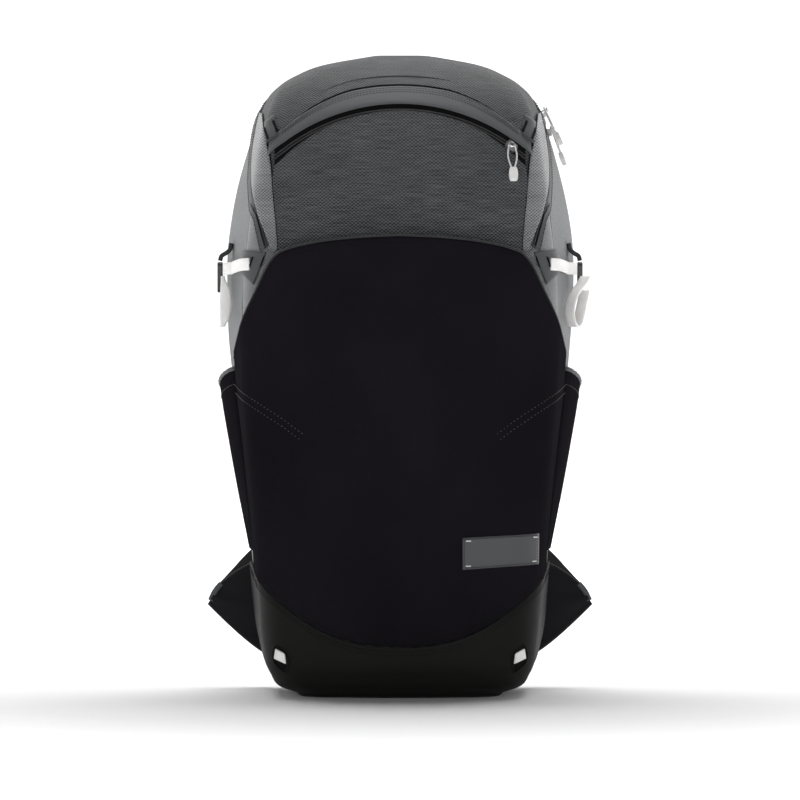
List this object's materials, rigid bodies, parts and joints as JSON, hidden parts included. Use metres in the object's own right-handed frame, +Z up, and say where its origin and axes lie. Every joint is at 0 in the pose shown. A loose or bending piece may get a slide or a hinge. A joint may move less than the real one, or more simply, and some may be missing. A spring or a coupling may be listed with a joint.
{
  "type": "ski backpack",
  "caption": "Top-loading ski backpack with a folding zipped lid, arched lid pocket, black stretch front pocket, side compression straps and padded shoulder straps.",
  "frame": {"origin": "centre of the flat underside of the base, which is what the pack stands on", "axes": "+Z up along the back, +X to the right of someone facing the front, +Y from the front panel to the wearer's back"},
  "size_m": [0.32, 0.2399, 0.524],
  "materials": {
    "side_fabric": "plain grey polyester",
    "ripstop": "small diamond weave, grey",
    "stretch": "matte black stretch fabric",
    "coated": "coated, dark olive-black",
    "trim": "smooth coated grey",
    "label": "smooth grey patch with white bar tacks",
    "white_webbing": "woven white",
    "black_webbing": "woven black",
    "black_plastic": "moulded, matte",
    "zip_tape": "coil zip, dark grey",
    "zip_metal": "cast, satin",
    "puller_cord": "light grey braided cord",
    "puller_cap": "moulded, light",
    "padding": "foam under black mesh",
    "frame_board": "sheet",
    "frame_stay": "flat bar"
  },
  "bodies": {
    "pack": {"main_shell": "side_fabric", "front_stretch_panel": "stretch", "side_pocket_left": "stretch", "side_pocket_right": "stretch", "base_boot": "coated", "side_patch_left": "trim", "side_patch_right": "trim", "label_patch": "label", "gear_tab_left": "white_webbing", "gear_tab_right": "white_webbing", "compression_strap_left": "white_webbing", "compression_strap_right": "white_webbing", "strap_tail_left": "white_webbing", "strap_tail_right": "white_webbing", "buckle_keeper_left": "black_webbing", "buckle_keeper_right": "black_webbing", "strap_wing_left": "black_webbing", "strap_wing_right": "black_webbing", "adjuster_webbing_left": "black_webbing", "adjuster_webbing_right": "black_webbing", "shoulder_yoke": "black_webbing", "sternum_rail_left": "black_plastic", "sternum_rail_right": "black_plastic", "main_zip_tape_lower": "zip_tape", "back_pad_left": "padding", "back_pad_right": "padding", "lumbar_pad": "padding", "shoulder_strap_left": "padding", "shoulder_strap_right": "padding", "laptop_sleeve": "padding", "frame_sheet": "frame_board", "frame_stay": "frame_stay"},
    "lid": {"lid_shell": "ripstop", "lid_pocket_panel": "ripstop", "lid_arch_flap": "trim", "pocket_zip_tape": "zip_tape", "main_zip_tape_upper": "zip_tape", "lash_patch_left": "trim", "lash_patch_right": "trim"},
    "pocket_slider": {"pocket_zip_slider": "zip_metal"},
    "pocket_puller": {"pocket_puller_cord": "puller_cord", "pocket_puller_cap": "puller_cap"},
    "front_slider": {"main_zip_front_slider": "zip_metal"},
    "front_puller": {"main_zip_front_puller_cord": "puller_cord", "main_zip_front_puller_cap": "puller_cap"},
    "rear_slider": {"main_zip_rear_slider": "zip_metal"},
    "rear_puller": {"main_zip_rear_puller_cord": "puller_cord", "main_zip_rear_puller_cap": "puller_cap"},
    "handle": {"haul_handle": "black_webbing"},
    "buckle_left": {"compression_buckle_left": "black_plastic"},
    "buckle_right": {"compression_buckle_right": "black_plastic"},
    "lock_left": {"ladder_lock_left": "black_plastic"},
    "lock_right": {"ladder_lock_right": "black_plastic"},
    "sternum_left": {"sternum_slider_left": "black_plastic", "sternum_webbing_left": "black_webbing", "sternum_buckle_socket": "black_plastic"},
    "sternum_right": {"sternum_slider_right": "black_plastic"},
    "sternum_plug": {"sternum_webbing_right": "black_webbing", "sternum_buckle_plug": "black_plastic"}
  },
  "joints": [
    {"name": "lid_fold", "type": "hinge", "parent": "pack", "child": "lid", "pos_m": [0, -0.093, 0.3775], "axis": [1, 0, 0], "range_deg": [0, 90]},
    {"name": "pocket_zip", "type": "hinge", "parent": "lid", "child": "pocket_slider", "pos_m": [0, -0.1019, 0.33404], "axis": [0, -0.9539, 0.3], "range_deg": [0, 74]},
    {"name": "pocket_puller_swing", "type": "hinge", "parent": "pocket_slider", "child": "pocket_puller", "pos_m": [0.09026, -0.07339, 0.44688], "axis": [0.1036, -0.944, 0.3132], "range_deg": [-95, 26]},
    {"name": "main_zip_front", "type": "hinge", "parent": "lid", "child": "front_slider", "pos_m": [-0.723, -0.01885, 0.42378], "axis": [0, 0.6157, -0.788], "range_deg": [0, 6.5]},
    {"name": "front_puller_swing", "type": "hinge", "parent": "front_slider", "child": "front_puller", "pos_m": [0.12536, 0.02916, 0.46357], "axis": [0.953, -0.1381, 0.2695], "range_deg": [-50, 15]},
    {"name": "main_zip_rear", "type": "slide", "parent": "lid", "child": "rear_slider", "axis": [0.266, -0.7596, -0.5935], "range_m": [0, 0.012]},
    {"name": "rear_puller_swing", "type": "hinge", "parent": "rear_slider", "child": "rear_puller", "pos_m": [0.12016, 0.05023, 0.47996], "axis": [0.9174, 0.0377, 0.3961], "range_deg": [-15, 50]},
    {"name": "handle_flex", "type": "hinge", "parent": "pack", "child": "handle", "pos_m": [0, 0.0795, 0.4785], "axis": [1, 0, 0], "range_deg": [-10, 24]},
    {"name": "buckle_swing_left", "type": "hinge", "parent": "pack", "child": "buckle_left", "pos_m": [-0.148, 0.0155, 0.354], "axis": [0, 1, 0], "range_deg": [0, 50]},
    {"name": "buckle_swing_right", "type": "hinge", "parent": "pack", "child": "buckle_right", "pos_m": [0.148, 0.0155, 0.354], "axis": [0, -1, 0], "range_deg": [0, 50]},
    {"name": "lock_tilt_left", "type": "hinge", "parent": "pack", "child": "lock_left", "pos_m": [-0.098, 0.0985, 0.133], "axis": [-1, 0, 0], "range_deg": [0, 30]},
    {"name": "lock_tilt_right", "type": "hinge", "parent": "pack", "child": "lock_right", "pos_m": [0.098, 0.0985, 0.133], "axis": [-1, 0, 0], "range_deg": [0, 30]},
    {"name": "sternum_height_left", "type": "slide", "parent": "pack", "child": "sternum_left", "axis": [0, 0, 1], "range_m": [-0.022, 0.02]},
    {"name": "sternum_height_right", "type": "slide", "parent": "pack", "child": "sternum_right", "axis": [0, 0, 1], "range_m": [-0.022, 0.02]},
    {"name": "sternum_clip", "type": "slide", "parent": "sternum_right", "child": "sternum_plug", "axis": [1, 0, 0], "range_m": [0, 0.022]}
  ],
  "couplings": [
    {"joint": "sternum_height_right", "follows": "sternum_height_left", "ratio": 1}
  ]
}
